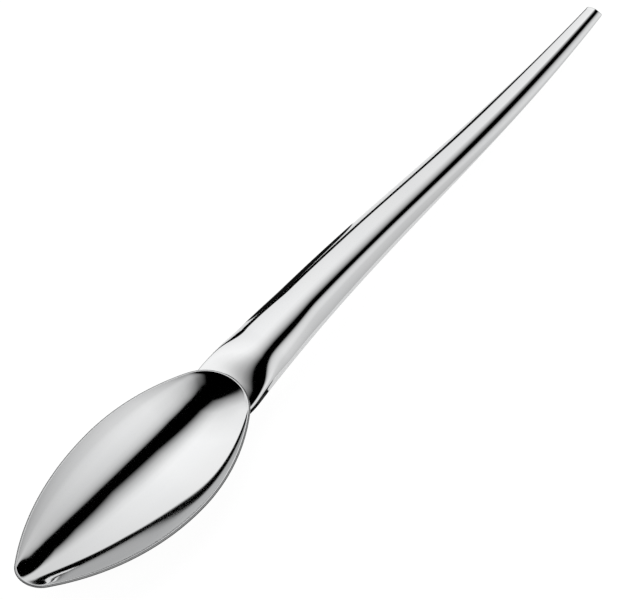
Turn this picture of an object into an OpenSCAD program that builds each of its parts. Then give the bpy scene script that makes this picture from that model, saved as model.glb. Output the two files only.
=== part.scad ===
// Tablespoon with a leaf-shaped bowl and a hollow, cement-filled handle.
// It lies on a table at z = 0. X runs from the bowl tip to the handle end,
// Y across the bowl, and the origin is on the table at half the length.

/* [Overall] */
// Length from the bowl tip to the handle end
overall_length = 205; // [195:1:215]

/* [Bowl outline] */
// Length of the bowl from its tip to its heel
bowl_length = 70; // [66:1:74]
// Distance from the bowl tip to the widest place
widest_from_tip = 40; // [37:1:43]
// Width of the bowl over its rim at the widest place
bowl_width = 31.6; // [29:0.2:34]
// Radius of the bowl tip seen from above
tip_radius = 5.3; // [4.5:0.1:6]
// Radius of the bowl heel seen from above
heel_radius = 10.2; // [9:0.1:11]

/* [Bowl rim] */
// Height of the rim at the bowl tip
rim_tip_height = 13.3; // [12:0.1:15]
// Height of the rim at half the bowl length
rim_middle_height = 8.1; // [7.5:0.1:9]
// Height of the rim at the bowl heel
rim_heel_height = 8.3; // [7.8:0.1:9]
// Width of the rim seen from above
rim_width = 0.5; // [0.5:0.1:1.2]
// Chamfer that stands for the rounded outer rim edge
rim_round = 0.4; // [0.1:0.05:0.45]

/* [Bowl depth] */
// Pull of the keel below the rim near the tip
keel_tip_pull = 4.7; // [4:0.1:7]
// Pull of the keel below the rim in front of the middle
keel_front_pull = 7.2; // [6:0.1:8]
// Pull of the keel below the rim behind the middle
keel_back_pull = 6.8; // [5.5:0.1:7.5]
// Pull of the keel below the rim near the heel
keel_heel_pull = 7.9; // [7:0.1:10]
// Flattening of the side walls towards the rim, 0 is a plain parabola
wall_flare = 0.3; // [0:0.05:0.4]
// Share of the depth that the side walls rise steeply in just inside the rim
rim_lip = 0.12; // [0:0.01:0.2]
// Sharpness of that steep rise
lip_power = 12; // [8:1:20]
// Wall thickness at the bottom of the bowl
bowl_wall = 1.4; // [1:0.1:1.8]

/* [Handle width] */
// Distance from the bowl heel back under the bowl to where the handle curves start
curve_run_in = 14; // [13:0.5:16]
// Width of the handle where its curve starts under the bowl heel
width_root = 17.2; // [16:0.1:18]
// Pull of the width behind the heel
width_neck = 12.2; // [11:0.1:13]
// Pull of the width at the middle
width_middle = 10.3; // [9:0.1:11]
// Pull of the width before the end
width_tail = 7.6; // [7:0.1:9]
// Width of the handle at its end
width_end = 4.1; // [4:0.1:5]

/* [Handle height] */
// Height of the centre curve under the bowl heel
height_root = 3.5; // [3:0.1:4]
// Pull of the centre curve behind the heel
height_neck = 8.8; // [8:0.1:10]
// Pull of the centre curve at the shoulder
height_shoulder = 9.8; // [9:0.1:11]
// Pull of the centre curve past the middle
height_middle = 1.3; // [1:0.1:2]
// Pull of the centre curve where the handle meets the table
height_tail = -0.3; // [-0.3:0.1:0.5]
// Height of the centre curve at the handle end
height_end = 2.6; // [2.4:0.1:3.4]

/* [Handle section] */
// Half width over the height of the crown
crown_ratio = 1.8; // [1.6:0.05:2]
// Half width over the height of the crown in the tail
tail_ratio = 2.4; // [2:0.05:2.6]
// Half width over the depth of the belly
belly_ratio = 2.1; // [1.9:0.05:2.2]
// Share of the belly that is taken off at the bowl heel
belly_lift = 0.35; // [0.2:0.05:0.5]
// Length of the handle nose that runs in under the bowl heel
nose_length = 13; // [11:0.5:15]
// Length of the nose tip that is left out, inside the bowl
nose_trim = 2.6; // [2:0.1:3.5]
// Length over which the crown goes down to the rim at the bowl heel
flat_length = 11.5; // [9:0.5:16]
// Slope at which the crown leaves the rim at the bowl heel
heel_slope = 0.3; // [0.1:0.05:0.4]
// Length of the nose over which that slope goes on inside the bowl
heel_run = 4; // [2:0.5:5]
// Length over which the side edges of the crown fade out behind the heel
edge_length = 26; // [20:1:34]
// Squareness of the crown, 2 is an ellipse
crown_power = 2.6; // [2:0.1:4]
// Squareness of the crown at the bowl heel
heel_power = 12; // [6:1:14]
// Share of the crown that is a low arch, where the handle curves start
arch_root = 0.75; // [0.5:0.05:0.9]
// Share of the crown that is a low arch, at half the handle
arch_middle = 0.5; // [0.3:0.05:0.7]
// Share of the crown that is a low arch, at the bowl heel
heel_arch = 0.33; // [0.2:0.01:0.6]
// Share of the crown that is a low arch, in the tail
tail_arch = 0.8; // [0.5:0.05:0.9]
// Form of that arch in the tail, 2 is a parabola and 1 a plain ridge
tail_form = 1.4; // [1.2:0.1:2]
// Length of the tail, over which the crown becomes low and ridged
tail_length = 85; // [70:1:100]
// Length at the handle end over which the tail form stays even
tail_even = 25; // [15:1:40]
// Rounding of the handle end face
end_round = 0.5; // [0.3:0.1:0.8]

/* [Handle inside] */
// Sheet thickness of the two handle shells
shell_wall = 0.75; // [0.6:0.05:0.8]
// Length of the solid end plug that shows
plug_length = 24; // [20:1:30]
// Length of the plug spigot inside the shells
spigot_length = 8; // [5:1:12]
// Width of the flat tang
tang_width = 5.5; // [4:0.5:6]
// Thickness of the flat tang
tang_thickness = 1.4; // [1:0.1:1.5]
// Distance of the tang centre below the rim at the heel
tang_drop = 2.05; // [1.95:0.05:2.15]
// Distance from the bowl heel to the far end of the tang
tang_reach = 48; // [36:1:52]
// Distance from the bowl heel to the first pair of keying notches
notch_start = 20; // [14:1:22]
// Distance from the first pair of notches to the second
notch_pitch = 14; // [10:1:18]
// Depth of the keying notches in the tang
notch_depth = 1; // [0.5:0.1:1.5]
// Length of each keying notch
notch_length = 5; // [3:0.5:7]

/* [Fits] */
// Weld gap between the bowl and the pieces behind it, and along the shell seams
weld_gap = 0.05; // [0.03:0.01:0.1]
// Slip gap round the plug spigot
spigot_gap = 0.05; // [0.03:0.01:0.1]
// Shrink gap round the cement core
cement_gap = 0.05; // [0.03:0.01:0.1]

/* [Hidden] */
// Points round the bowl rim, rings of the inner and the outer bowl surface
rim_points = 84;
inner_rings = 14;
outer_rings = 12;
// Stations along the handle, points over half a handle section
handle_stations = 52;
half_points = 20;
plug_stations = 10;
spigot_stations = 4;
half_bowl = bowl_width / 2;
widest_to_heel = bowl_length - widest_from_tip;
heel_centre = bowl_length - heel_radius;
root_x = bowl_length - curve_run_in;
// The handle pieces start here, well inside the bowl, and are cut to its wall
mouth_x = bowl_length - nose_length + nose_trim;
plug_x = overall_length - plug_length;
spigot_x = plug_x - spigot_length;
shell_end = plug_x - weld_gap;
core_end = spigot_x - cement_gap;
// Least room between the last two sections of the core
station_room = 0.5;
// Keel curves of the inner and the outer surface, from the tip to the heel
keel_pulls = [0, keel_tip_pull, keel_front_pull, keel_back_pull, keel_heel_pull, 0];
outer_extra = (bowl_wall - rim_round) / curve([0, 1, 1, 1, 1, 0], 0.5);
outer_pulls = [for (i = [0 : 5]) keel_pulls[i] + (i == 0 || i == 5 ? 0 : outer_extra)];
width_pulls = [width_root, width_neck, width_middle, width_tail, width_end] / 2;
height_pulls = [height_root, height_neck, height_shoulder, height_middle, height_tail, height_end];
// Centre of the ring pattern on the bowl surfaces
ring_centre = (widest_from_tip + bowl_length / 2) / 2;
// Top of the bowl cutter, clear of the handle
cutter_rise = 10;
cutter_top = rim_tip_height + cutter_rise;
// Length by which the spigot runs into the plug, so that they are one solid
spigot_root = 1;

function mix(a, b, t) = a + (b - a) * t;

// Value at t of the smooth curve that a list of pulls gives
function curve(pulls, t) =
    len(pulls) == 1 ? pulls[0] :
    curve([for (i = [0 : len(pulls) - 2]) mix(pulls[i], pulls[i + 1], t)], t);

function clamp01(t) = max(0, min(1, t));

function safe_root(v) = sqrt(max(0, v));

// Radius of the long side arc that runs into an end circle
function side_radius(run, end_radius) =
    (pow(run - end_radius, 2) + pow(half_bowl, 2) - pow(end_radius, 2)) / (2 * (half_bowl - end_radius));

front_radius = side_radius(widest_from_tip, tip_radius);
back_radius = side_radius(widest_to_heel, heel_radius);

function arc_height(radius, run) = safe_root(radius * radius - run * run);

// Distance along X from the centre of an end circle to where the long arc starts
function join_run(end_radius, run, long_radius) = end_radius * run / long_radius;

// Half width of the rim outline at x, moved outwards by e
function rim_half(x, e) =
    let (tip_run = widest_from_tip - tip_radius)
    let (heel_run = heel_centre - widest_from_tip)
    let (front_join = tip_radius - join_run(tip_radius + e, tip_run, front_radius - tip_radius))
    let (back_join = heel_centre + join_run(heel_radius + e, heel_run, back_radius - heel_radius))
    x < front_join ? arc_height(tip_radius + e, x - tip_radius) :
    x < widest_from_tip ? half_bowl - front_radius + arc_height(front_radius + e, x - widest_from_tip) :
    x < back_join ? half_bowl - back_radius + arc_height(back_radius + e, x - widest_from_tip) :
    arc_height(heel_radius + e, x - heel_centre);

// Height of the rim at x
function rim_z(x) =
    let (t = x / bowl_length)
    rim_tip_height * (1 - t) * (1 - 2 * t)
    + 4 * rim_middle_height * t * (1 - t)
    + rim_heel_height * t * (2 * t - 1);

// Share of the keel depth that is left at the half-width share q
function wall_shape(q) =
    1 - (1 + wall_flare - rim_lip) * q * q + wall_flare * pow(q, 4) - rim_lip * pow(q, lip_power);

// Bowl surface below an outline moved outwards by e
function bowl_z(x, y, e, pulls, drop) =
    let (t = clamp01((x + e) / (bowl_length + 2 * e)))
    let (half = rim_half(x, e))
    let (q = half < 0.001 ? 1 : min(1, abs(y) / half))
    rim_z(x) - drop - curve(pulls, t) * wall_shape(q);

// Rim outline moved outwards by e, as points in plan
function rim_plan(e) = [
    for (k = [0 : rim_points - 1])
        let (a = 360 * k / rim_points)
        let (x = mix(-e, bowl_length + e, (1 - cos(a)) / 2))
        [x, (a < 180 ? 1 : -1) * rim_half(x, e)]
];

// Ring of a bowl surface at the share s of the way from its centre to the outline
function bowl_ring(s, e, pulls, drop) = [
    for (p = rim_plan(e))
        let (x = mix(ring_centre, p[0], s))
        let (y = p[1] * s)
        [x, y, s == 1 ? rim_z(x) - drop : bowl_z(x, y, e, pulls, drop)]
];

// Share of ring j of n, with the rings closer together towards the rim
function ring_share(j, n) = j == n ? 1 : sin(90 * j / n);

// Rim outline at the height of the rim plus a lift
function rim_ring(e, lift) = [for (p = rim_plan(e)) [p[0], p[1], rim_z(p[0]) + lift]];

function flat_ring(e, z) = [for (p = rim_plan(e)) [p[0], p[1], z]];

function centre_point(e, pulls, drop) = [ring_centre, 0, bowl_z(ring_centre, 0, e, pulls, drop)];

// Handle curves
function handle_t(x) = (x - root_x) / (overall_length - root_x);

// 1 behind the bowl heel, and rounding off in front of it
function nose(x) = safe_root(1 - pow(max(0, bowl_length - x) / nose_length, 2));

function half_width(x) = curve(width_pulls, handle_t(x)) * nose(x);

function centre_z(x) = curve(height_pulls, handle_t(x));

// 1 at the bowl heel and 0 after a run along the handle
function fading(x, run) =
    let (t = clamp01((x - bowl_length) / run))
    (1 - t) * (1 - t) * (1 + 2 * t);

function flatness(x) = fading(x, flat_length);

// 0 in front of the tail and 1 where its form is even
function tailness(x) =
    let (t = clamp01((x - overall_length + tail_length) / (tail_length - tail_even)))
    t * t * (3 - 2 * t);

function heel_top(x) = rim_heel_height + heel_slope * max(x - bowl_length, -heel_run);

function crown(x) =
    let (full = half_width(x) / mix(crown_ratio, tail_ratio, tailness(x)))
    mix(full, heel_top(x) - centre_z(x), flatness(x));

function belly(x) = half_width(x) / belly_ratio * (1 - belly_lift * flatness(x));

function crown_square(x) = mix(crown_power, heel_power, fading(x, edge_length));

function arch_share(x) =
    let (open = mix(arch_root, arch_middle, 2 * handle_t(x)))
    mix(mix(open, tail_arch, tailness(x)), heel_arch, flatness(x));

// Height share of the crown at the half-width share q: a full crown mixed with a low arch
function crown_shape(x, q) =
    let (power = crown_square(x))
    let (full = pow(max(0, 1 - pow(q, power)), 1 / power))
    let (arch = 1 - pow(q, mix(2, tail_form, tailness(x))))
    mix(full, arch, arch_share(x));

// Point of a handle section at x, moved inwards by inset, a = 0 at +Y and 90 on top
function section_point(x, a, inset) =
    let (up = sin(a) >= 0)
    let (rise = (up ? crown(x) : belly(x)) - inset)
    let (high = up ? crown_shape(x, abs(cos(a))) : sin(a))
    [x, (half_width(x) - inset) * cos(a), centre_z(x) + rise * high];

// Place of section i of the shells, with the sections closer together behind the bowl heel
function station_x(i) =
    let (t = i / handle_stations)
    mix(mouth_x, shell_end, t * (1 + t) / 2);

// The core has its sections where the shells have theirs, so that the two stay parallel
function core_places() = concat(
    [for (i = [0 : handle_stations]) if (station_x(i) < core_end - station_room) station_x(i)],
    [core_end]
);

function full_section(x, inset) = [
    for (k = [0 : 2 * half_points - 1]) section_point(x, 180 * k / half_points, inset)
];

// Section of the rounded end face, a = 0 where the rounding starts and 90 on the face
function rounded_end(a) = [
    for (p = full_section(overall_length, end_round * (1 - cos(a))))
        [overall_length - end_round * (1 - sin(a)), p[1], p[2]]
];

// Half a section from one seam to the other, above for turn = 1 and below for turn = -1
function half_section(x, turn, inset) = [
    for (k = [0 : half_points])
        seamed(section_point(x, turn * 180 * (turn > 0 ? k : half_points - k) / half_points, inset), turn)
];

function reversed(list) = [for (i = [len(list) - 1 : -1 : 0]) list[i]];

// Wall of one shell at x: along the outer half, then back along the inner half
function shell_section(x, turn) = concat(
    half_section(x, turn, 0),
    reversed(half_section(x, turn, shell_wall))
);

// Keeps a point half a weld gap on its own side of the seam
function seamed(p, turn) =
    let (seam = centre_z(p[0]) + turn * weld_gap / 2)
    [p[0], p[1], turn > 0 ? max(p[2], seam) : min(p[2], seam)];

// The lowest places of the bowl and of the handle decide how far all is lifted
lowest_bowl = min([for (x = [0 : bowl_length]) bowl_z(x, 0, 0, outer_pulls, rim_round)]);
lowest_handle = min([for (x = [bowl_length : overall_length]) centre_z(x) - belly(x)]);
lift = -min(lowest_bowl, lowest_handle);

// Closed skin over rings that start and end in a point
module pointed_skin(first, rings, last) {
    n = len(rings[0]);
    count = len(rings);
    points = concat([first], [for (r = rings) each r], [last]);
    end = 1 + n * count;
    faces = concat(
        [for (k = [0 : n - 1]) [0, 1 + k, 1 + (k + 1) % n]],
        [for (j = [0 : count - 2]) for (k = [0 : n - 1])
            [1 + j * n + k, 1 + (j + 1) * n + (k + 1) % n, 1 + j * n + (k + 1) % n]],
        [for (j = [0 : count - 2]) for (k = [0 : n - 1])
            [1 + j * n + k, 1 + (j + 1) * n + k, 1 + (j + 1) * n + (k + 1) % n]],
        [for (k = [0 : n - 1]) [end, 1 + (count - 1) * n + (k + 1) % n, 1 + (count - 1) * n + k]]
    );
    polyhedron(points, faces);
}

// Closed skin over sections that start and end in a flat face
module capped_skin(sections) {
    n = len(sections[0]);
    count = len(sections);
    last = n * (count - 1);
    points = [for (s = sections) each s];
    faces = concat(
        [for (k = [0 : n / 2 - 2]) [k, k + 1, n - 2 - k]],
        [for (k = [0 : n / 2 - 2]) [k, n - 2 - k, n - 1 - k]],
        [for (j = [0 : count - 2]) for (k = [0 : n - 1])
            [j * n + k, (j + 1) * n + k, (j + 1) * n + (k + 1) % n]],
        [for (j = [0 : count - 2]) for (k = [0 : n - 1])
            [j * n + k, (j + 1) * n + (k + 1) % n, j * n + (k + 1) % n]],
        [for (k = [0 : n / 2 - 2]) [last + n - 2 - k, last + k + 1, last + k]],
        [for (k = [0 : n / 2 - 2]) [last + n - 1 - k, last + n - 2 - k, last + k]]
    );
    polyhedron(points, faces);
}

// Everything that the bowl fills or covers, grown by a gap, to cut the pieces behind it
module bowl_cutter(gap) {
    rings = concat(
        [flat_ring(gap, cutter_top)],
        [for (j = [outer_rings : -1 : 1])
            bowl_ring(ring_share(j, outer_rings), gap, outer_pulls, rim_round + gap)]
    );
    pointed_skin([ring_centre, 0, cutter_top], rings, centre_point(gap, outer_pulls, rim_round + gap));
}

// Tang outline in plan with its keying notches
module tang_plan() {
    far_x = bowl_length + tang_reach;
    difference() {
        translate([mouth_x, -tang_width / 2])
            square([far_x - mouth_x, tang_width]);
        for (side = [-1, 1], i = [0, 1])
            translate([bowl_length + notch_start + i * notch_pitch, side * tang_width / 2])
                square([notch_length, 2 * notch_depth], center = true);
    }
}

module tang_bar(grow) {
    translate([0, 0, rim_heel_height - tang_drop - tang_thickness / 2 - grow])
        linear_extrude(tang_thickness + 2 * grow)
            offset(delta = grow)
                tang_plan();
}

// Solid spigot of the plug, moved inwards by inset
module spigot(inset, start_x) {
    end_x = plug_x + spigot_root;
    capped_skin([
        for (i = [0 : spigot_stations])
            full_section(mix(start_x, end_x, i / spigot_stations), shell_wall + inset)
    ]);
}

// Sets a piece on the table, with half the length on each side of the origin
module placed() {
    translate([-overall_length / 2, 0, lift])
        children();
}

// Pieces

module bowl() {
    rings = concat(
        [for (j = [1 : inner_rings]) bowl_ring(ring_share(j, inner_rings), -rim_width, keel_pulls, 0)],
        [rim_ring(-rim_round, 0)],
        [for (j = [outer_rings : -1 : 1])
            bowl_ring(ring_share(j, outer_rings), 0, outer_pulls, rim_round)]
    );
    color("silver")
        placed()
            pointed_skin(
                centre_point(-rim_width, keel_pulls, 0),
                rings,
                centre_point(0, outer_pulls, rim_round)
            );
}

module tang() {
    color("darkgray")
        placed()
            difference() {
                tang_bar(0);
                bowl_cutter(weld_gap);
            }
}

module shell(turn) {
    difference() {
        capped_skin([
            for (i = [0 : handle_stations])
                shell_section(station_x(i), turn)
        ]);
        bowl_cutter(weld_gap);
    }
}

module handle_upper_shell() {
    color("lightgray")
        placed()
            shell(1);
}

module handle_lower_shell() {
    color("lightgray")
        placed()
            shell(-1);
}

module handle_filler() {
    color("dimgray")
        placed()
            difference() {
                capped_skin([
                    for (x = core_places())
                        full_section(x, shell_wall + cement_gap)
                ]);
                bowl_cutter(weld_gap);
                tang_bar(cement_gap);
            }
}

module end_plug() {
    color("silver")
        placed()
            union() {
                spigot(spigot_gap, spigot_x);
                capped_skin(concat(
                    [for (i = [0 : plug_stations])
                        full_section(mix(plug_x, overall_length - end_round, i / plug_stations), 0)],
                    [for (a = [30, 60, 90]) rounded_end(a)]
                ));
            }
}

bowl();
tang();
handle_upper_shell();
handle_lower_shell();
handle_filler();
end_plug();
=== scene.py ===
import math

import bpy
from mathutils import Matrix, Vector


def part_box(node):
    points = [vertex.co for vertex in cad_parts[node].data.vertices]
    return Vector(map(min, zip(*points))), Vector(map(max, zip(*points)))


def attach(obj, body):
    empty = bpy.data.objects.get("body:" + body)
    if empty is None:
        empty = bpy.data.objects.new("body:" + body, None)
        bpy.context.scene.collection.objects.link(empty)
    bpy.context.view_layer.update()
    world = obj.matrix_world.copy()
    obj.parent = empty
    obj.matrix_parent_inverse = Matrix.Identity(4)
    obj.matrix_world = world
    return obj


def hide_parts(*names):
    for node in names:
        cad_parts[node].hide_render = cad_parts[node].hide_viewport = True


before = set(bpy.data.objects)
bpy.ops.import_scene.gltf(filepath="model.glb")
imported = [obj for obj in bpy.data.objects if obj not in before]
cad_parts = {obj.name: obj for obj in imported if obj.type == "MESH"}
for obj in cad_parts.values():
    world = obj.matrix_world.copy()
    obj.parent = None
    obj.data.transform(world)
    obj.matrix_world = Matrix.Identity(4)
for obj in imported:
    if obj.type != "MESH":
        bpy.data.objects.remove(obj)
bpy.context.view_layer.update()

# Bowl: a leaf blanked from stainless sheet and pressed hollow, with its rim ground level
# and its outer edge rounded over. It is welded to the handle mouth and then polished
# together with it. Sizes are in millimetres, and x runs from the bowl tip.
mm = 0.001
overall_length = 205.0
bowl_length = 70.0
widest_from_tip = 40.0
half_bowl = 15.8
tip_radius = 5.3
heel_radius = 10.2
heel_centre = bowl_length - heel_radius
rim_tip, rim_middle, rim_heel = 13.3, 8.1, 8.3
rim_width = 0.5
rim_round = 0.4
wall_flare = 0.3
rim_lip, lip_power = 0.12, 12
bowl_wall = 1.4
# A width under this counts as none
hair = 0.001


def mix(a, b, t):
    return a + (b - a) * t


def pulled(pulls, t):
    """Value at t of the smooth curve that a list of pulls gives."""
    while len(pulls) > 1:
        pulls = [mix(a, b, t) for a, b in zip(pulls, pulls[1:])]
    return pulls[0]


def clamped(t):
    return min(max(t, 0.0), 1.0)


def root(v):
    return math.sqrt(max(v, 0.0))


# Pulls of the keel below the rim, from the tip to the heel. Outside, the wall is added.
keel_inside = [0, 4.7, 7.2, 6.8, 7.9, 0]
keel_extra = (bowl_wall - rim_round) / pulled([0, 1, 1, 1, 1, 0], 0.5)
keel_outside = [pull + keel_extra if pull else 0 for pull in keel_inside]


def side_radius(run, end_radius):
    """Radius of the long side arc that runs into an end circle."""
    return ((run - end_radius) ** 2 + half_bowl ** 2 - end_radius ** 2) / (2 * (half_bowl - end_radius))


# The outline of one side is four arcs, from the heel to the tip: centre, radius, first and last turn
front_radius = side_radius(widest_from_tip, tip_radius)
back_radius = side_radius(bowl_length - widest_from_tip, heel_radius)
front_turn = math.atan2(front_radius - half_bowl, tip_radius - widest_from_tip)
back_turn = math.atan2(back_radius - half_bowl, heel_centre - widest_from_tip)
rim_arcs = [
    (heel_centre, 0.0, heel_radius, 0.0, back_turn),
    (widest_from_tip, half_bowl - back_radius, back_radius, back_turn, math.pi / 2),
    (widest_from_tip, half_bowl - front_radius, front_radius, math.pi / 2, front_turn),
    (tip_radius, 0.0, tip_radius, front_turn, math.pi),
]


def rim_plan(share, out):
    """Point of the rim outline, moved outwards: share 0 and 1 at the heel, 0.5 at the tip."""
    side = 1 if share <= 0.5 else -1
    way = 2 * min(share, 1 - share) * sum(r * (b - a) for _, _, r, a, b in rim_arcs)
    for x, y, r, a, b in rim_arcs:
        if way <= r * (b - a) or r == tip_radius:
            turn = min(a + way / r, b)
            return x + (r + out) * math.cos(turn), side * (y + (r + out) * math.sin(turn))
        way -= r * (b - a)


def rim_half(x, out):
    """Half width of the rim outline at x, moved outwards."""
    front_join = tip_radius + (tip_radius + out) * math.cos(front_turn)
    back_join = heel_centre + (heel_radius + out) * math.cos(back_turn)
    if x < front_join:
        return root((tip_radius + out) ** 2 - (x - tip_radius) ** 2)
    if x > back_join:
        return root((heel_radius + out) ** 2 - (x - heel_centre) ** 2)
    r = front_radius if x < widest_from_tip else back_radius
    return half_bowl - r + root((r + out) ** 2 - (x - widest_from_tip) ** 2)


def rim_z(x):
    """Height of the rim at x, on a parabola through its tip, middle and heel."""
    t = x / bowl_length
    return rim_tip * (1 - t) * (1 - 2 * t) + 4 * rim_middle * t * (1 - t) + rim_heel * t * (2 * t - 1)


def bowl_z(x, y, out, keel, drop):
    """Height of the inner or outer bowl surface."""
    t = clamped((x + out) / (bowl_length + 2 * out))
    half = rim_half(x, out)
    q = 1.0 if half < hair else min(1.0, abs(y) / half)
    deep = 1 - (1 + wall_flare - rim_lip) * q ** 2 + wall_flare * q ** 4 - rim_lip * q ** lip_power
    return rim_z(x) - drop - pulled(keel, t) * deep


# The frame stands the spoon on the table: the rim's highest place tells how far it is lifted
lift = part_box("bowl")[1].z / mm - rim_z(rim_round)


def on_table(x, y, z):
    """Millimetres from the bowl tip to the frame's metres."""
    return Vector(((x - overall_length / 2) * mm, y * mm, (z + lift) * mm))


# Rings of the mesh: out along the inside, over the rim and back along the outside. They lie
# closer together towards the rim, where the wall turns up.
ring_centre = (widest_from_tip + bowl_length / 2) / 2
surface_rings = 64
last_even_share = 0.985
near_rim = [0.99, 0.995, 0.998, 1.0]
ring_turns = [math.pi / 2 * k / surface_rings for k in range(surface_rings + 1)]
shares = [last_even_share * math.sin(turn) for turn in ring_turns] + near_rim
rim_flat = [0.3, 0.6, 1.0]
rim_turns = [math.radians(degrees) for degrees in (15, 30, 45, 60, 75)]
rim_steps = [(-mix(rim_width, rim_round, share), 0.0) for share in rim_flat]
rim_steps += [(-rim_round * (1 - math.sin(a)), -rim_round * (1 - math.cos(a))) for a in rim_turns]
bowl_rings = (
    [("inside", share) for share in shares]
    + [("rim", step) for step in rim_steps]
    + [("outside", share) for share in reversed(shares)]
)
round_points = 288


def ring_of(place, rings):
    """The ring that a vertex of a unit sphere is on, counted from its upper pole."""
    return rings[round(math.acos(max(-1.0, min(1.0, place.z))) / math.pi * (len(rings) - 1))]


def turn_faces_outwards():
    bpy.ops.object.mode_set(mode="EDIT")
    bpy.ops.mesh.select_all(action="SELECT")
    bpy.ops.mesh.normals_make_consistent(inside=False)
    bpy.ops.object.mode_set(mode="OBJECT")


bpy.ops.object.select_all(action="DESELECT")
bpy.ops.mesh.primitive_uv_sphere_add(segments=round_points, ring_count=len(bowl_rings) - 1, radius=1)
bowl = bpy.context.object
bowl.name = "pressed_bowl"
for v in bowl.data.vertices:
    kind, value = ring_of(v.co, bowl_rings)
    share = (math.atan2(v.co.y, v.co.x) / (2 * math.pi)) % 1.0
    if kind == "rim":
        out, rise = value
        x, y = rim_plan(share, out)
        v.co = on_table(x, y, rim_z(x) + rise)
    else:
        out, keel, drop = (-rim_width, keel_inside, 0) if kind == "inside" else (0, keel_outside, rim_round)
        x, y = rim_plan(share, out)
        x, y = mix(ring_centre, x, value), y * value
        z = rim_z(x) - drop if value == 1.0 else bowl_z(x, y, out, keel, drop)
        v.co = on_table(x, y, z)
turn_faces_outwards()
bpy.ops.object.shade_smooth()


def from_hex(code):
    """sRGB hex colour to linear RGBA."""
    srgb = [int(code[i:i + 2], 16) / 255 for i in (1, 3, 5)]
    return [c / 12.92 if c <= 0.04045 else ((c + 0.055) / 1.055) ** 2.4 for c in srgb] + [1.0]


def per_metre(*sizes):
    """Pattern scale from the pattern's real sizes in millimetres."""
    return [1 / (size * mm) for size in sizes]


def bare_material(name):
    """A new material with nothing in its node tree yet."""
    material = bpy.data.materials.new(name)
    material.use_nodes = True
    material.node_tree.nodes.clear()
    return material


def add(tree, kind, settings=None, links=None):
    """Adds a node: settings go to its sockets or its own fields, links to its input sockets."""
    node = tree.nodes.new(kind)
    for name, value in (settings or {}).items():
        if name == "stops":
            ramp = node.color_ramp
            while len(ramp.elements) < len(value):
                ramp.elements.new(0.5)
            for element, (place, level) in zip(ramp.elements, value):
                element.position = place
                element.color = (level, level, level, 1)
        elif isinstance(name, str) and hasattr(node, name):
            setattr(node, name, value)
        else:
            node.inputs[name].default_value = value
    for name, source in (links or {}).items():
        tree.links.new(source, node.inputs[name])
    return node


# Mirror-polished stainless steel: sisal-mopped along the spoon, then colour-buffed. The eye
# sees clean sharp reflections, a slightly cool grey body, and hair-fine buffing lines that
# only soften the edges of what is reflected. The mop leaves slow haze patches.
line_spacing, line_length, line_depth = 0.25, 8.0, 0.02
haze_size = 11.76
# Sockets of a Mix node for its two colours and the colour that comes out
colour_a, colour_b, mixed = 6, 7, 2
polished_steel = bare_material("mirror_polished_stainless_steel")
tree = polished_steel.node_tree
place = add(tree, "ShaderNodeTexCoord").outputs["Object"]
along = add(tree, "ShaderNodeMapping", {"Scale": per_metre(line_length, line_spacing, line_spacing)},
            {"Vector": place})
lines = add(tree, "ShaderNodeTexNoise", {"Scale": 1.0, "Detail": 3.0, "Roughness": 0.6},
            {"Vector": along.outputs["Vector"]})
haze = add(tree, "ShaderNodeTexNoise", {"Scale": per_metre(haze_size)[0], "Detail": 2.0}, {"Vector": place})
softness = add(tree, "ShaderNodeMapRange",
               {"From Min": 0.3, "From Max": 0.7, "To Min": 0.03, "To Max": 0.065},
               {"Value": lines.outputs["Fac"]})
tint = add(tree, "ShaderNodeMix",
           {"data_type": "RGBA", colour_a: from_hex("#AFB0B1"), colour_b: from_hex("#B3B3B3")},
           {"Factor": haze.outputs["Fac"]})
relief = add(tree, "ShaderNodeBump", {"Strength": 0.02, "Distance": line_depth * mm},
             {"Height": lines.outputs["Fac"]})
steel = add(tree, "ShaderNodeBsdfPrincipled", {"Metallic": 1.0},
            {"Base Color": tint.outputs[mixed], "Roughness": softness.outputs["Result"],
             "Normal": relief.outputs["Normal"]})
add(tree, "ShaderNodeOutputMaterial", None, {"Surface": steel.outputs["BSDF"]})
bowl.data.materials.append(polished_steel)

# Rounded outer edge of the rim: a darker, rougher steel than the mirror beside it. Its darker colour
# is painted shade: it draws the thin dark line that the shaded table would reflect along the bowl's
# outline. The scratches are drawn coarser than they are, so that they show.
scratch_spacing = 0.2
ground_edge = bare_material("satin_ground_stainless_edge")
tree = ground_edge.node_tree
place = add(tree, "ShaderNodeTexCoord").outputs["Object"]
scratches = add(tree, "ShaderNodeTexNoise", {"Scale": per_metre(scratch_spacing)[0], "Detail": 2.0},
                {"Vector": place})
shade = add(tree, "ShaderNodeMix",
            {"data_type": "RGBA", colour_a: from_hex("#727374"), colour_b: from_hex("#868686")},
            {"Factor": scratches.outputs["Fac"]})
satin = add(tree, "ShaderNodeMapRange", {"To Min": 0.25, "To Max": 0.4}, {"Value": scratches.outputs["Fac"]})
steel = add(tree, "ShaderNodeBsdfPrincipled", {"Metallic": 1.0},
            {"Base Color": shade.outputs[mixed], "Roughness": satin.outputs["Result"]})
add(tree, "ShaderNodeOutputMaterial", None, {"Surface": steel.outputs["BSDF"]})
bowl.data.materials.append(ground_edge)
# The faces of the rim's rounded outer edge get the darker steel, the painted shade line.
for face in bowl.data.polygons:
    x, y, z = face.center / mm + Vector((overall_length / 2, 0, -lift))
    if abs(y) > rim_half(x, -rim_round) and z > rim_z(x) - rim_round:
        face.material_index = 1
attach(bowl, "root")
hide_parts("bowl")

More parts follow.
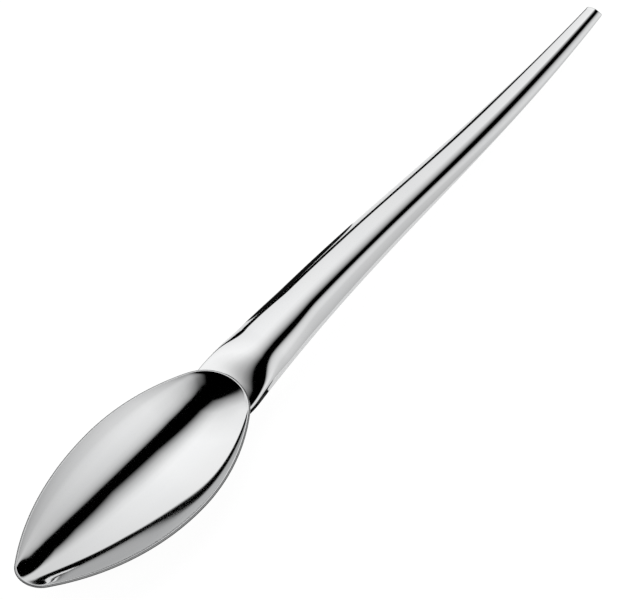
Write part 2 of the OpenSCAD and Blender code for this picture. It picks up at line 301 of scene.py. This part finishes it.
# Tang: a flat notched bar welded to the back of the bowl. It is locked in the cement inside
# the handle and doesn't show, so it keeps its solid and its mill finish. Pickled stainless
# bar: the eye would see a matt grey with faint rolling lines along its length.
rolling_spacing, rolling_length = 0.4, 10.0
tang_steel = bare_material("pickled_stainless_bar")
tree = tang_steel.node_tree
place = add(tree, "ShaderNodeTexCoord").outputs["Object"]
rolled = add(tree, "ShaderNodeMapping",
             {"Scale": per_metre(rolling_length, rolling_spacing, rolling_spacing)}, {"Vector": place})
grain = add(tree, "ShaderNodeTexNoise", {"Scale": 1.0, "Detail": 4.0}, {"Vector": rolled.outputs["Vector"]})
shade = add(tree, "ShaderNodeMix",
            {"data_type": "RGBA", colour_a: from_hex("#A9AAAB"), colour_b: from_hex("#C2C2C2")},
            {"Factor": grain.outputs["Fac"]})
matt = add(tree, "ShaderNodeMapRange", {"To Min": 0.35, "To Max": 0.55}, {"Value": grain.outputs["Fac"]})
steel = add(tree, "ShaderNodeBsdfPrincipled", {"Metallic": 1.0},
            {"Base Color": shade.outputs[mixed], "Roughness": matt.outputs["Result"]})
add(tree, "ShaderNodeOutputMaterial", None, {"Surface": steel.outputs["BSDF"]})
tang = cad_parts["tang"]
tang.data.materials.clear()
tang.data.materials.append(tang_steel)

# Handle core: resin cement cast between the shells and round the tang. It is sealed in and
# doesn't show, so it keeps its solid. Cast resin with mineral filler: the eye would see a
# dull dark grey, full of small grains.
grain_size, grain_relief = 0.5, 0.2
cement = bare_material("cast_resin_cement")
tree = cement.node_tree
place = add(tree, "ShaderNodeTexCoord").outputs["Object"]
grit = add(tree, "ShaderNodeTexNoise", {"Scale": per_metre(grain_size)[0], "Detail": 3.0}, {"Vector": place})
shade = add(tree, "ShaderNodeMix",
            {"data_type": "RGBA", colour_a: from_hex("#4E4C49"), colour_b: from_hex("#77736D")},
            {"Factor": grit.outputs["Fac"]})
relief = add(tree, "ShaderNodeBump", {"Strength": 0.4, "Distance": grain_relief * mm},
             {"Height": grit.outputs["Fac"]})
resin = add(tree, "ShaderNodeBsdfPrincipled", {"Roughness": 0.85},
            {"Base Color": shade.outputs[mixed], "Normal": relief.outputs["Normal"]})
add(tree, "ShaderNodeOutputMaterial", None, {"Surface": resin.outputs["BSDF"]})
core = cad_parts["handle_filler"]
core.data.materials.clear()
core.data.materials.append(cement)

# Handle shells: two half tubes pressed from 0.75 mm stainless sheet. Their edges are butted,
# welded along both sides and ground flush, so the seam can't be seen after polishing. The
# mouth runs in under the bowl heel and is welded to the bowl's wall.
curve_run_in = 14.0
nose_length = 13.0
nose_trim = 2.6
plug_length = 24.0
root_x = bowl_length - curve_run_in
plug_x = overall_length - plug_length
# Pulls of the half width and of the centre's height, from under the bowl heel to the end
half_widths = [8.6, 6.1, 5.15, 3.8, 2.05]
centre_heights = [3.5, 8.8, 9.8, 1.3, -0.3, 2.6]
# The upper half of a section is a full crown mixed with a low arch. At the heel it comes down to
# the rim and is squarer, and in the tail it is lower and ridged.
crown_ratio, tail_ratio = 1.8, 2.4
crown_power, heel_power = 2.6, 12.0
arch_root, arch_middle, heel_arch, tail_arch = 0.75, 0.5, 0.33, 0.8
arch_form, tail_form = 2, 1.4
flat_length, edge_length, heel_slope, heel_run = 11.5, 26.0, 0.3, 4.0
tail_length, tail_even = 85.0, 25.0
belly_ratio, belly_lift = 2.1, 0.35
shell_wall = 0.75
weld_run_in = 0.1


def fading(x, run):
    """1 at the bowl heel, going down to 0 over a run along the handle."""
    t = clamped((x - bowl_length) / run)
    return (1 - t) ** 2 * (1 + 2 * t)


def handle_point(x, turn, inset=0.0):
    """Point of the handle section at x in millimetres: turn 0 at +Y, a quarter turn on top."""
    t = (x - root_x) / (overall_length - root_x)
    nose = root(1 - (max(0.0, bowl_length - x) / nose_length) ** 2)
    half = pulled(half_widths, t) * nose
    middle = pulled(centre_heights, t)
    flat = fading(x, flat_length)
    across, up = math.cos(turn), math.sin(turn)
    y = (half - inset) * across
    if up < 0:
        belly = half / belly_ratio * (1 - belly_lift * flat)
        return x, y, middle + (belly - inset) * up
    heel_top = rim_heel + heel_slope * max(x - bowl_length, -heel_run)
    end = clamped((x - overall_length + tail_length) / (tail_length - tail_even))
    tail = end ** 2 * (3 - 2 * end)
    crown = mix(half / mix(crown_ratio, tail_ratio, tail), heel_top - middle, flat)
    power = mix(crown_power, heel_power, fading(x, edge_length))
    full = max(1 - abs(across) ** power, 0.0) ** (1 / power)
    arch = 1 - abs(across) ** mix(arch_form, tail_form, tail)
    arch_share = mix(mix(mix(arch_root, arch_middle, 2 * t), tail_arch, tail), heel_arch, flat)
    return x, y, middle + (crown - inset) * mix(full, arch, arch_share)


# The mouth is looked for by halving, from inside the bowl to a little behind its heel
mouth_reach = 4.0
halvings = 40


def mouth_at(turn):
    """Where the line of the handle surface at this turn runs into the bowl's wall."""
    near, far = bowl_length - nose_length + nose_trim, bowl_length + mouth_reach
    for _ in range(halvings):
        x, y, z = handle_point((near + far) / 2, turn)
        inside = x < bowl_length - weld_run_in and abs(y) < rim_half(x, -weld_run_in)
        if inside and z > bowl_z(x, y, 0, keel_outside, rim_round) + weld_run_in:
            near = x
        else:
            far = x
    return far


seam_crowding = 0.95


def crowded(share):
    """Spreads points over half a section, closer together towards both seams."""
    return share - seam_crowding * math.sin(2 * math.pi * share) / (2 * math.pi)


# Sections along the handle, closer together behind the bowl, and points over half a section
stations, half_section = 220, 96
sharp_edge = math.radians(40)
for name, node, side in (("upper_shell", "handle_upper_shell", 1), ("lower_shell", "handle_lower_shell", -1)):
    bpy.ops.object.select_all(action="DESELECT")
    bpy.ops.mesh.primitive_grid_add(x_subdivisions=stations, y_subdivisions=half_section, size=2)
    shell = bpy.context.object
    shell.name = name
    mouths = {}
    for v in shell.data.vertices:
        along, row = (v.co.x + 1) / 2, round((v.co.y + 1) / 2 * half_section)
        turn = side * math.pi * crowded(row / half_section)
        if row not in mouths:
            mouths[row] = mouth_at(turn)
        v.co = on_table(*handle_point(mix(mouths[row], plug_x, along * (1 + along) / 2), turn))
    shell.data.update()
    middle_face = shell.data.polygons[len(shell.data.polygons) // 2]
    bpy.ops.object.mode_set(mode="EDIT")
    bpy.ops.mesh.select_all(action="SELECT")
    if middle_face.normal.z * side < 0:
        bpy.ops.mesh.flip_normals()
    bpy.ops.object.mode_set(mode="OBJECT")
    bpy.ops.object.modifier_add(type="SOLIDIFY")
    shell.modifiers[-1].thickness = shell_wall * mm
    shell.modifiers[-1].offset = -1
    bpy.ops.object.modifier_apply(modifier=shell.modifiers[-1].name)
    bpy.ops.object.shade_smooth_by_angle(angle=sharp_edge)
    shell.data.materials.append(polished_steel)
    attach(shell, "root")
    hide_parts(node)

# End plug: a solid forged stainless tip. Its spigot sits inside the shells, it is welded
# round its edge, ground flush and polished, and its end face has a small round edge.
end_round = 0.5
spigot_length = 8.0
spigot_inset = 0.85
plug_stations = 36
end_turns = [math.radians(degrees) for degrees in range(10, 100, 10)]
plug_rings = [("spigot end", share) for share in (0.0, 0.5, 0.9, 1.0)]
plug_rings += [("spigot", share) for share in (0.0, 0.02, 0.5, 0.98, 1.0)]
plug_rings += [("body", station / plug_stations) for station in range(plug_stations + 1)]
plug_rings += [("edge", turn) for turn in end_turns]
plug_rings += [("face", share) for share in (0.97, 0.6, 0.3, 0.0)]
section_points = 192


def plug_point(kind, value, turn):
    """Point of a ring of the plug, by the ring's kind and its share or turn."""
    if kind == "spigot":
        return handle_point(plug_x - spigot_length * (1 - value), turn, spigot_inset)
    if kind == "body":
        return handle_point(mix(plug_x, overall_length - end_round, value), turn)
    if kind == "edge":
        x, y, z = handle_point(overall_length, turn, end_round * (1 - math.cos(value)))
        return overall_length - end_round * (1 - math.sin(value)), y, z
    flats = {"spigot end": (plug_x - spigot_length, spigot_inset), "face": (overall_length, end_round)}
    flat_x, inset = flats[kind]
    x, y, z = handle_point(flat_x, turn, inset)
    middle = handle_point(flat_x, 0.0)[2]
    return x, y * value, mix(middle, z, value)


bpy.ops.object.select_all(action="DESELECT")
bpy.ops.mesh.primitive_uv_sphere_add(segments=section_points, ring_count=len(plug_rings) - 1, radius=1)
plug = bpy.context.object
plug.name = "end_plug_tip"
for v in plug.data.vertices:
    turn = math.atan2(v.co.y, v.co.x)
    v.co = on_table(*plug_point(*ring_of(v.co, plug_rings), turn))
turn_faces_outwards()
bpy.ops.object.shade_smooth_by_angle(angle=sharp_edge)
plug.data.materials.append(polished_steel)
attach(plug, "root")
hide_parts("end_plug")

# Floor: plain white studio table, a hair below the spoon. The camera sees it white with a faint
# shadow, and the polished steel sees the lit table with its shadow. Dark patches are painted on it,
# which only the steel sees: painted shadow round the bowl and painted dark reflections by the neck.
table_size = 6.0
table_gap = 0.05
table_in_steel = 0.75
white_level = 0.93
bpy.ops.object.select_all(action="DESELECT")
bpy.ops.mesh.primitive_plane_add(size=table_size, location=(0, 0, -table_gap * mm))
floor = bpy.context.object
floor.name = "studio_table"
white_table = bare_material("white_table_top")
tree = white_table.node_tree
path = add(tree, "ShaderNodeLightPath")
bare = add(tree, "ShaderNodeBsdfDiffuse", {"Color": from_hex("#E1E1E1")})
mirrored = add(tree, "ShaderNodeMath", {"operation": "MAXIMUM"},
               {0: path.outputs["Is Glossy Ray"], 1: path.outputs["Is Transmission Ray"]})
mirrored = add(tree, "ShaderNodeMath", {"operation": "MULTIPLY", 1: table_in_steel}, {0: mirrored.outputs[0]})
glow = add(tree, "ShaderNodeEmission", {"Color": from_hex("#FFFFFF")}, {"Strength": mirrored.outputs[0]})
table = add(tree, "ShaderNodeAddShader", None, {0: bare.outputs[0], 1: glow.outputs[0]})
# Place of each painted dark patch from the middle of the spoon, its half lengths, and its turn in degrees
flags = {
    "round the bowl": ((-138.0, 0.0), (112.0, 120.0), 0.0),
    "near side of the neck": ((113.5, -262.0), (5.5, 300.0), 30.0),
    "far side of the neck": ((140.3, 271.5), (17.3, 300.0), -27.8),
    "beyond that one": ((797.0, 1389.6), (90.0, 1200.0), -30.0),
}
flag_soft = 0.96
# Near-black painted into the floor where the patches lie: painted shadow and painted dark reflections, seen
# only in the steel.
black = add(tree, "ShaderNodeBsdfDiffuse", {"Color": from_hex("#191919")})
place = add(tree, "ShaderNodeTexCoord").outputs["Object"]
for (flag_x, flag_y), (flag_a, flag_b), flag_turn in flags.values():
    spot = add(tree, "ShaderNodeMapping",
               {"vector_type": "TEXTURE", "Location": (flag_x * mm, flag_y * mm, 0),
                "Rotation": (0, 0, math.radians(flag_turn)), "Scale": (flag_a * mm, flag_b * mm, 1)},
               {"Vector": place})
    spot = add(tree, "ShaderNodeVectorMath", {"operation": "ABSOLUTE"}, {0: spot.outputs["Vector"]})
    sides = add(tree, "ShaderNodeSeparateXYZ", None, {"Vector": spot.outputs["Vector"]})
    reach = add(tree, "ShaderNodeMath", {"operation": "MAXIMUM"},
                {0: sides.outputs["X"], 1: sides.outputs["Y"]})
    covered = add(tree, "ShaderNodeMapRange", {"From Min": 1.0, "From Max": flag_soft},
                  {"Value": reach.outputs[0]})
    table = add(tree, "ShaderNodeMixShader", None,
                {"Fac": covered.outputs["Result"], 1: table.outputs[0], 2: black.outputs[0]})
shadow = add(tree, "ShaderNodeBsdfDiffuse", {"Color": from_hex("#616161")})
white = add(tree, "ShaderNodeEmission", {"Color": from_hex("#FFFFFF"), "Strength": white_level})
backdrop = add(tree, "ShaderNodeAddShader", None, {0: shadow.outputs[0], 1: white.outputs[0]})
shown = add(tree, "ShaderNodeMixShader", None,
            {"Fac": path.outputs["Is Camera Ray"], 1: table.outputs[0], 2: backdrop.outputs[0]})
add(tree, "ShaderNodeOutputMaterial", None, {"Surface": shown.outputs[0]})
floor.data.materials.append(white_table)

# Studio light: two long soft panels overhead, one on each side of the spoon, with an unlit slot
# between them. They fade towards the slot and the horizon, and at the tip's end there is an
# unlit part with soft light below it and beyond it. The camera itself sees plain white.
studio = bpy.data.worlds.new("two_soft_panels")
bpy.context.scene.world = studio
studio.use_nodes = True
tree = studio.node_tree
tree.nodes.clear()
path = add(tree, "ShaderNodeLightPath")
ray = add(tree, "ShaderNodeTexCoord").outputs["Generated"]
axes = add(tree, "ShaderNodeSeparateXYZ", None, {"Vector": ray})
# Angles of a direction, as shares of half a turn with 0.5 straight up, or for the height with
# 0.5 at the horizon: across the spoon, along it, and above the horizon
half_turn = 180.0
across = add(tree, "ShaderNodeMath", {"operation": "ARCTAN2"}, {0: axes.outputs["Y"], 1: axes.outputs["Z"]})
along = add(tree, "ShaderNodeMath", {"operation": "ARCSINE"}, {0: axes.outputs["X"]})
height = add(tree, "ShaderNodeMath", {"operation": "ARCSINE"}, {0: axes.outputs["Z"]})
across, along, height = [
    add(tree, "ShaderNodeMath", {"operation": "MULTIPLY_ADD", 1: 1 / math.pi, 2: 0.5},
        {0: angle.outputs[0]}).outputs[0]
    for angle in (across, along, height)
]


def angles(pairs):
    """Ramp stops from pairs of an angle in degrees and a value."""
    return [(0.5 + angle / half_turn, value) for angle, value in pairs]


# Edges of the two panels and of the dark above the horizon, in degrees, along the spoon from the
# tip's side (minus) to the handle's side. The panels' corners are round, so the slot between them
# opens at both ends.
left_edge = [(-62, -60), (-50, 36), (-24, 36), (-20, 15), (-12, 6), (16, -4), (38, -6), (55, 2), (64, 13),
             (67.5, 27), (69.5, 50), (71.5, 75)]
right_edge = [(-24, -5), (-18, -11), (-10, -14.5), (2, -16.5), (40, -16.5), (57, -15.5), (65, -13.5),
              (70, -9), (73, -1)]
horizon_edge = [(40, 9), (60, 4)]
left_start, right_start, horizon_start = [
    add(tree, "ShaderNodeValToRGB", {"stops": angles((a, 0.5 + e / half_turn) for a, e in edge)},
        {"Fac": along}).outputs["Color"]
    for edge in (left_edge, right_edge, horizon_edge)
]
# Brightness past those edges, by degrees
left_fade = [(0, 0.0), (4.5, 0.27), (10.5, 0.55), (17.5, 0.75), (25, 0.92), (34, 1.0), (60, 0.97), (85, 0.9)]
right_fade = [(0, 0.0), (1, 0.22), (3, 0.5), (6, 0.76), (10, 0.92), (16, 1.0), (21, 0.97), (27, 0.85),
              (45, 0.77), (72, 0.65)]
horizon_fade = [(0, 0.0), (1.5, 1.0)]
past_edges = [
    add(tree, "ShaderNodeMath", {"operation": "SUBTRACT"}, {0: high, 1: low}).outputs[0]
    for high, low in ((across, left_start), (right_start, across), (height, horizon_start))
]
left_panel, right_panel, horizon = [
    add(tree, "ShaderNodeValToRGB", {"stops": [(a / half_turn, v) for a, v in fade]},
        {"Fac": past}).outputs["Color"]
    for fade, past in zip((left_fade, right_fade, horizon_fade), past_edges)
]
left_level, right_level = 2.07, 1.775
left_light = add(tree, "ShaderNodeMath", {"operation": "MULTIPLY"}, {0: left_panel, 1: horizon})
left_light = add(tree, "ShaderNodeMath", {"operation": "MULTIPLY", 1: left_level}, {0: left_light.outputs[0]})
both_panels = add(tree, "ShaderNodeMath", {"operation": "MULTIPLY_ADD", 1: right_level},
                  {0: right_panel, 2: left_light.outputs[0]})
# Brightness along the spoon, and the soft light low down, by degrees above the horizon
ends_fade = [(-64, 0.55), (-52, 0), (-25, 0), (-22, 0.25), (-19, 0.42), (-16, 0.57), (-12, 0.77), (-5, 0.9),
             (5, 1.0), (20, 0.97), (35, 0.88), (55, 0.74), (70, 0.66)]
low_fade = [(32, 0.7), (38, 0)]
ends = add(tree, "ShaderNodeValToRGB", {"stops": angles(ends_fade)}, {"Fac": along})
low_light = add(tree, "ShaderNodeValToRGB", {"stops": angles(low_fade)}, {"Fac": height})
lit = add(tree, "ShaderNodeMath", {"operation": "MAXIMUM"},
          {0: ends.outputs["Color"], 1: low_light.outputs["Color"]})
panels = add(tree, "ShaderNodeMath", {"operation": "MULTIPLY"},
             {0: both_panels.outputs[0], 1: lit.outputs[0]})
light = add(tree, "ShaderNodeBackground", {"Color": from_hex("#FFFFFF")}, {"Strength": panels.outputs[0]})
plain = add(tree, "ShaderNodeBackground", {"Color": from_hex("#FFFFFF"), "Strength": 1.0})
shown = add(tree, "ShaderNodeMixShader", None,
            {"Fac": path.outputs["Is Camera Ray"], 1: light.outputs[0], 2: plain.outputs[0]})
add(tree, "ShaderNodeOutputWorld", None, {"Surface": shown.outputs[0]})

# Camera: a long lens from the bowl's side, 54 degrees above the table and 1 m away. Its azimuth,
# aim and focal length were fitted to the outline of the spoon in the photograph.
azimuth, elevation, distance = math.radians(-52.409), math.radians(54.0), 1.0
aim = Vector((-0.00054, 0.001855, 0.00003))
back = Vector((math.sin(azimuth) * math.cos(elevation), -math.cos(azimuth) * math.cos(elevation),
               math.sin(elevation)))
lens = bpy.data.cameras.new("long_lens")
lens.sensor_width = 36.0
lens.lens = 258.6
lens.clip_start, lens.clip_end = 0.01, 100.0
camera = bpy.data.objects.new("camera", lens)
bpy.context.scene.collection.objects.link(camera)
camera.location = aim + back * distance
camera.rotation_mode = "QUATERNION"
camera.rotation_quaternion = (-back).to_track_quat("-Z", "Y")
bpy.context.scene.camera = camera
bpy.context.scene.view_settings.view_transform = "Standard"
